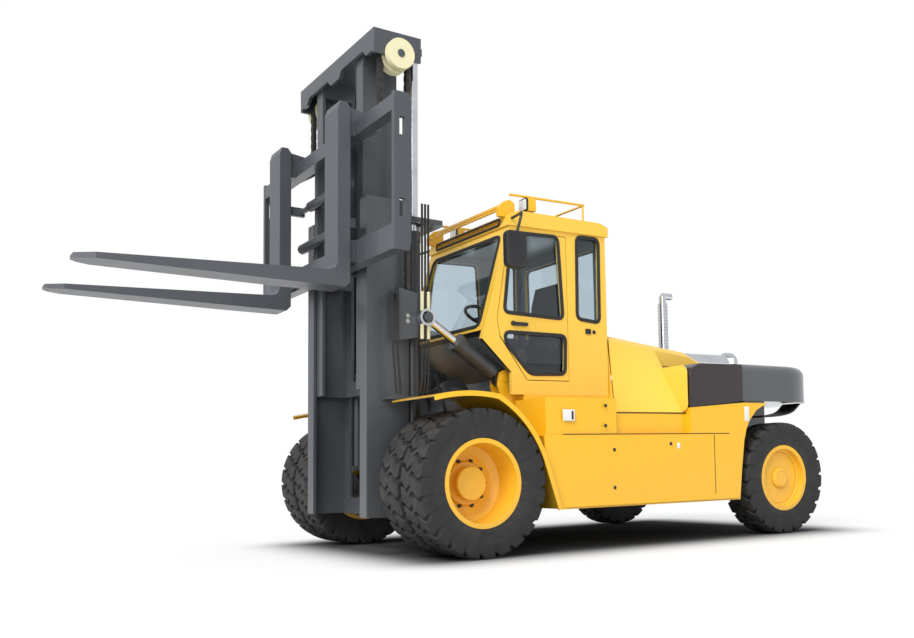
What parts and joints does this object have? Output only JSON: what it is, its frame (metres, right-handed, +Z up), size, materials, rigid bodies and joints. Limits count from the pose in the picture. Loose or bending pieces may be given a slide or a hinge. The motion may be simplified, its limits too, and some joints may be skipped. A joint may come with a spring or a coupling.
{
  "type": "heavy forklift truck",
  "caption": "Heavy counterbalance forklift truck with a tilting two-stage mast, spreading forks, twin drive tyres and an offset glazed cab.",
  "frame": {"origin": "on the ground under the middle of the truck's bounding box, forks included", "axes": "+Z up, the truck faces -Y, its left side is +X"},
  "size_m": [2.88, 7.1991, 4.3579],
  "materials": {
    "body_yellow": "gloss",
    "cab_yellow": "gloss",
    "mast_grey": "satin",
    "cheek_brown": "satin",
    "chassis_black": "satin",
    "engine_grey": "matte",
    "tyre_rubber": "matte",
    "clear_glass": "clear",
    "rod_chrome": "polished",
    "chain_steel": "satin",
    "sheave_cream": "matte",
    "seat_cloth": "matte"
  },
  "bodies": {
    "chassis": {"frame": "chassis_black", "drive_axle": "chassis_black", "transmission": "engine_grey", "engine_block": "engine_grey", "side_bodies": "body_yellow", "side_skins": "body_yellow", "cab_base": "body_yellow", "fenders": "body_yellow", "tilt_mounts": "body_yellow", "counterweight": "mast_grey", "cheeks": "cheek_brown", "hood_frame": "body_yellow", "exhaust": "rod_chrome", "cab_shell": "cab_yellow", "cab_glass": "clear_glass", "cab_roof": "cab_yellow", "roof_rack": "body_yellow", "work_lamps": "body_yellow", "mirrors": "chassis_black", "seat": "seat_cloth", "dash": "chassis_black", "steer_axle": "chassis_black"},
    "drive_wheels_left": {"drive_tyres_left": "tyre_rubber", "drive_rims_left": "body_yellow"},
    "drive_wheels_right": {"drive_tyres_right": "tyre_rubber", "drive_rims_right": "body_yellow"},
    "knuckle_left": {"knuckle_left": "chassis_black"},
    "knuckle_right": {"knuckle_right": "chassis_black"},
    "steer_wheel_left": {"steer_tyre_left": "tyre_rubber", "steer_rim_left": "body_yellow"},
    "steer_wheel_right": {"steer_tyre_right": "tyre_rubber", "steer_rim_right": "body_yellow"},
    "mast": {"outer_mast": "mast_grey", "lift_barrels": "mast_grey", "chain_rears": "chain_steel"},
    "inner_mast": {"inner_mast": "mast_grey", "crosshead": "mast_grey", "lift_rods": "rod_chrome", "sheaves": "sheave_cream", "chain_wraps": "chain_steel", "chain_fronts": "chain_steel"},
    "carriage": {"carriage": "mast_grey", "fork_positioners": "mast_grey"},
    "fork_left": {"fork_left": "mast_grey"},
    "fork_right": {"fork_right": "mast_grey"},
    "tilt_barrel_left": {"tilt_barrel_left": "mast_grey"},
    "tilt_barrel_right": {"tilt_barrel_right": "mast_grey"},
    "tilt_rod_left": {"tilt_rod_left": "rod_chrome"},
    "tilt_rod_right": {"tilt_rod_right": "rod_chrome"},
    "door": {"door": "cab_yellow", "door_glass": "clear_glass"},
    "hood_left": {"hood_left": "body_yellow"},
    "hood_right": {"hood_right": "body_yellow"}
  },
  "joints": [
    {"name": "drive_spin_left", "type": "hinge", "parent": "chassis", "child": "drive_wheels_left", "pos_m": [1.1, -0.7, 0.6], "axis": [1, 0, 0], "continuous": true},
    {"name": "drive_spin_right", "type": "hinge", "parent": "chassis", "child": "drive_wheels_right", "pos_m": [-1.1, -0.7, 0.6], "axis": [1, 0, 0], "continuous": true},
    {"name": "steer", "type": "hinge", "parent": "chassis", "child": "knuckle_left", "pos_m": [1.04, 2.83, 0.545], "axis": [0, 0, 1], "range_deg": [-55, 55]},
    {"name": "steer_right", "type": "hinge", "parent": "chassis", "child": "knuckle_right", "pos_m": [-1.04, 2.83, 0.545], "axis": [0, 0, 1], "range_deg": [-55, 55]},
    {"name": "steer_spin_left", "type": "hinge", "parent": "knuckle_left", "child": "steer_wheel_left", "pos_m": [1.2, 2.83, 0.545], "axis": [1, 0, 0], "continuous": true},
    {"name": "steer_spin_right", "type": "hinge", "parent": "knuckle_right", "child": "steer_wheel_right", "pos_m": [-1.2, 2.83, 0.545], "axis": [1, 0, 0], "continuous": true},
    {"name": "tilt", "type": "hinge", "parent": "chassis", "child": "mast", "pos_m": [0, -0.88, 0.56], "axis": [1, 0, 0], "range_deg": [-8.5, 7.5]},
    {"name": "lift", "type": "slide", "parent": "mast", "child": "inner_mast", "axis": [0, 0.0262, 0.9997], "range_m": [-1.08, 0.42], "deforming": ["chain_rears"]},
    {"name": "carriage_lift", "type": "slide", "parent": "inner_mast", "child": "carriage", "axis": [0, 0.0262, 0.9997], "range_m": [-1.08, 0.42], "deforming": ["chain_fronts"]},
    {"name": "fork_spread_left", "type": "slide", "parent": "carriage", "child": "fork_left", "axis": [1, 0, 0], "range_m": [-0.19, 0.56]},
    {"name": "fork_spread_right", "type": "slide", "parent": "carriage", "child": "fork_right", "axis": [-1, 0, 0], "range_m": [-0.19, 0.56]},
    {"name": "tilt_swing_left", "type": "hinge", "parent": "chassis", "child": "tilt_barrel_left", "pos_m": [0.78, -0.095, 1.498], "axis": [1, 0, 0], "range_deg": [-8.31, 7.45]},
    {"name": "tilt_stroke_left", "type": "slide", "parent": "tilt_barrel_left", "child": "tilt_rod_left", "axis": [0, -0.8311, 0.5561], "range_m": [-0.191, 0.1697]},
    {"name": "tilt_swing_right", "type": "hinge", "parent": "chassis", "child": "tilt_barrel_right", "pos_m": [-0.78, -0.095, 1.498], "axis": [1, 0, 0], "range_deg": [-8.31, 7.45]},
    {"name": "tilt_stroke_right", "type": "slide", "parent": "tilt_barrel_right", "child": "tilt_rod_right", "axis": [0, -0.8311, 0.5561], "range_m": [-0.191, 0.1697]},
    {"name": "door_hinge", "type": "hinge", "parent": "chassis", "child": "door", "pos_m": [0.96, 0.54, 2.1], "axis": [0, 0, 1], "range_deg": [0, 85]},
    {"name": "hood_hinge_left", "type": "hinge", "parent": "chassis", "child": "hood_left", "pos_m": [0.066, 1.6, 1.949], "axis": [0, -1, 0], "range_deg": [0, 75]},
    {"name": "hood_hinge_right", "type": "hinge", "parent": "chassis", "child": "hood_right", "pos_m": [-0.066, 1.6, 1.949], "axis": [0, 1, 0], "range_deg": [0, 75]}
  ],
  "couplings": [
    {"joint": "steer_right", "follows": "steer", "ratio": 1},
    {"joint": "carriage_lift", "follows": "lift", "ratio": 1},
    {"joint": "tilt_swing_left", "follows": "tilt", "ratio": 0.86},
    {"joint": "tilt_stroke_left", "follows": "tilt", "m_per_rad": 1.22},
    {"joint": "tilt_swing_right", "follows": "tilt", "ratio": 0.86},
    {"joint": "tilt_stroke_right", "follows": "tilt", "m_per_rad": 1.22}
  ]
}
